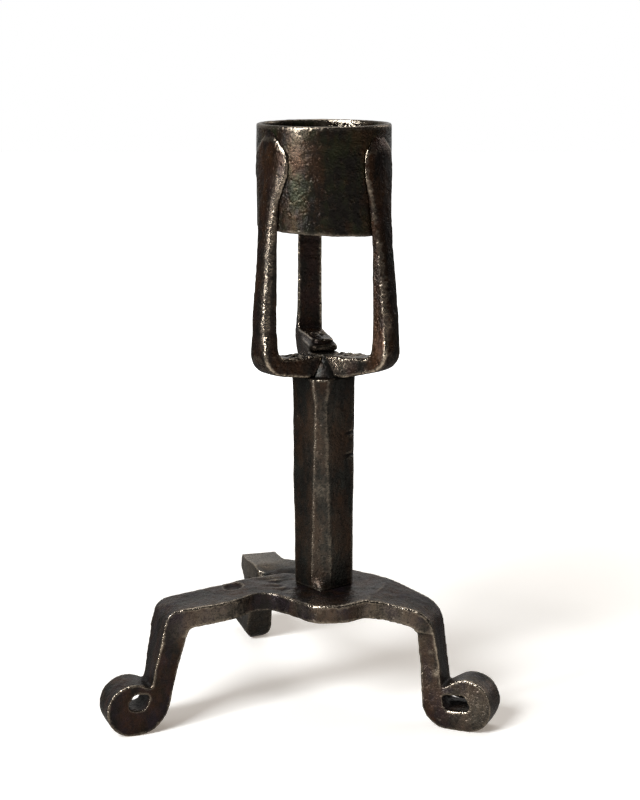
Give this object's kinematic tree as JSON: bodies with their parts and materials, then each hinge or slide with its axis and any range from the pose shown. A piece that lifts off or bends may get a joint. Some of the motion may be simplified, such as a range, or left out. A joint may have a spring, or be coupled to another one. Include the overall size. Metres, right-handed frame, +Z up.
{
  "type": "wrought iron candlestick",
  "caption": "Forged iron candlestick with an open candle cup held by leaf-ended arms on a chamfered square stem above splayed bar legs that curl into scroll feet.",
  "frame": {"origin": "on the table, in the middle of the box round the three scroll feet", "axes": "+Z up; the stem's axis is parallel to it. -Y to the front, towards the camera of the picture, and +X to the right of the picture"},
  "size_m": [0.1348, 0.1176, 0.1998],
  "materials": {
    "leg_iron": "hammered forge black under wax, worn bright on the arrises",
    "stem_iron": "forge black under wax, flats worn smoother",
    "arm_iron": "hammered forge black under wax",
    "cup_iron": "forge black under wax with rust-brown patches"
  },
  "bodies": {
    "root": {"front_leg_bar": "leg_iron", "back_leg": "leg_iron", "stem": "stem_iron", "arm_left": "arm_iron", "arm_right": "arm_iron", "arm_back": "arm_iron", "cup_ring": "cup_iron", "cup_floor": "cup_iron"}
  },
  "joints": []
}
